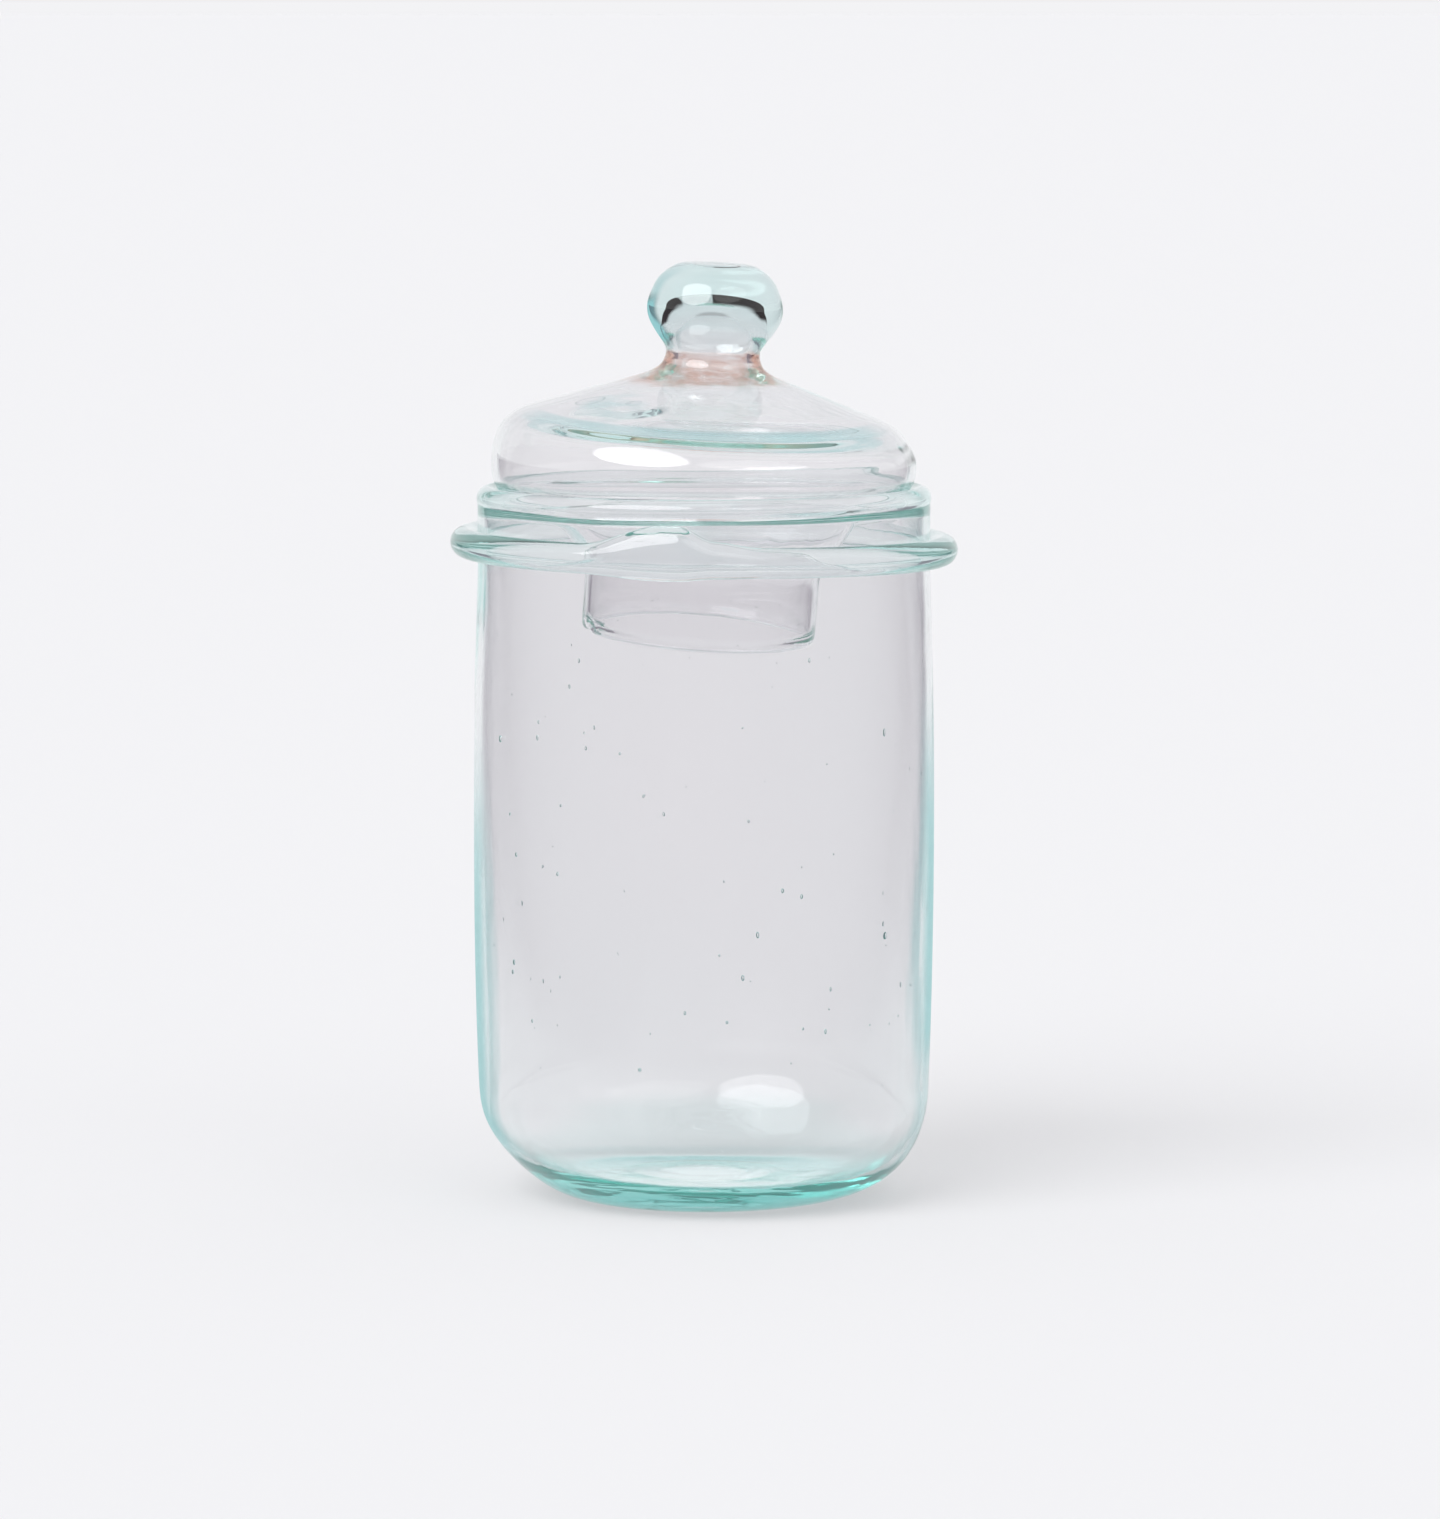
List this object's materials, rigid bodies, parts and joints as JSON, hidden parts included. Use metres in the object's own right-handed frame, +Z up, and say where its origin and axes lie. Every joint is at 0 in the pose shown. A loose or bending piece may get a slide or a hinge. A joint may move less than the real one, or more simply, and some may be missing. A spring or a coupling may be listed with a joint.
{
  "type": "lidded glass jar",
  "caption": "Hand-blown cylindrical glass jar with a rounded base and wound glass rings at the mouth, closed by a hollow knobbed lid that lifts off.",
  "frame": {"origin": "centre of the ring the jar stands on, at the underside of the base", "axes": "+Z up along the jar's axis, -Y towards the front, where the neck cord's lap is"},
  "size_m": [0.1334, 0.1336, 0.2464],
  "materials": {
    "clear_glass": "smooth, seeded",
    "teal_glass": "smooth, thick"
  },
  "bodies": {
    "jar": {"vessel": "clear_glass", "rim_trail": "teal_glass", "neck_trail": "teal_glass", "pontil_scar": "teal_glass"},
    "lid": {"lid_bubble": "clear_glass", "lid_knob": "teal_glass", "lid_collar": "clear_glass"}
  },
  "joints": [
    {"name": "lid_lift", "type": "slide", "parent": "jar", "child": "lid", "axis": [0, 0, 1], "range_m": [0, 0.09]}
  ]
}
